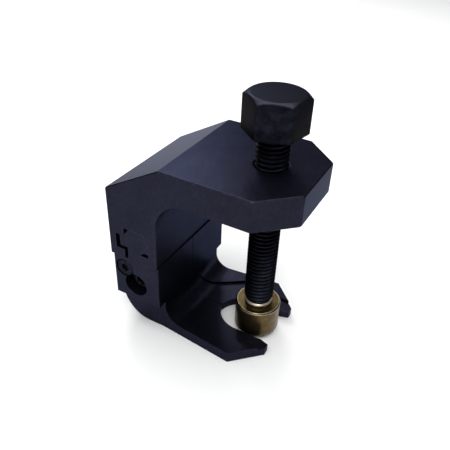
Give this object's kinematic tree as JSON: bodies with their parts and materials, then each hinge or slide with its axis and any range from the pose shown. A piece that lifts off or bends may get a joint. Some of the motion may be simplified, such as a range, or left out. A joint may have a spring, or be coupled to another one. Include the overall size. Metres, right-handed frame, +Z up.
{
  "type": "forked screw press",
  "caption": "C-frame screw press with a forked, split lower jaw in a T-slot, a hexagon-headed forcing screw and a brass swivel pad",
  "frame": {"origin": "centre of the bounding box's footprint, on the plane of the fork's flat underside", "axes": "+Z runs up the forcing screw, -Y points at the nose and the fork tips, +X makes the right-handed set"},
  "size_m": [0.043, 0.0606, 0.0874],
  "materials": {
    "black_oxide_frame": "satin black oxide on milled steel",
    "black_oxide_jaw": "satin black oxide on ground steel",
    "black_oxide_screw": "black oxide with an oil film",
    "black_oxide_fastener": "black oxide",
    "brass_pad": "turned and lightly polished",
    "spring_steel": "ground",
    "ball_steel": "polished"
  },
  "bodies": {
    "frame": {"frame": "black_oxide_frame", "centring_pin": "spring_steel"},
    "jaw_left": {"jaw_left": "black_oxide_jaw", "keeper_screw": "black_oxide_fastener"},
    "jaw_right": {"jaw_right": "black_oxide_jaw"},
    "adjusting_screw": {"adjusting_screw": "black_oxide_fastener"},
    "pad": {"pressure_pad": "brass_pad", "pad_retaining_ring": "spring_steel"},
    "forcing_screw": {"forcing_screw": "black_oxide_screw", "thrust_ball": "ball_steel"}
  },
  "joints": [
    {"name": "pad_travel", "type": "slide", "parent": "frame", "child": "pad", "axis": [0, 0, 1], "range_m": [-0.0104, 0.042]},
    {"name": "forcing_screw_turn", "type": "hinge", "parent": "pad", "child": "forcing_screw", "pos_m": [0, -0.01515, 0.04], "axis": [0, 0, 1], "range_deg": [-2497, 10081]},
    {"name": "jaw_right_slide", "type": "slide", "parent": "frame", "child": "jaw_right", "axis": [1, 0, 0], "range_m": [0, 0.004]},
    {"name": "jaw_left_slide", "type": "slide", "parent": "frame", "child": "jaw_left", "axis": [-1, 0, 0], "range_m": [0, 0.004]},
    {"name": "adjusting_screw_turn", "type": "hinge", "parent": "jaw_left", "child": "adjusting_screw", "pos_m": [-0.0184, 0.02075, 0.0186], "axis": [-1, 0, 0], "range_deg": [0, 3601]}
  ],
  "couplings": [
    {"joint": "forcing_screw_turn", "follows": "pad_travel", "rad_per_m": 4188.8},
    {"joint": "jaw_left_slide", "follows": "jaw_right_slide", "ratio": 1},
    {"joint": "adjusting_screw_turn", "follows": "jaw_right_slide", "rad_per_m": 15708}
  ]
}
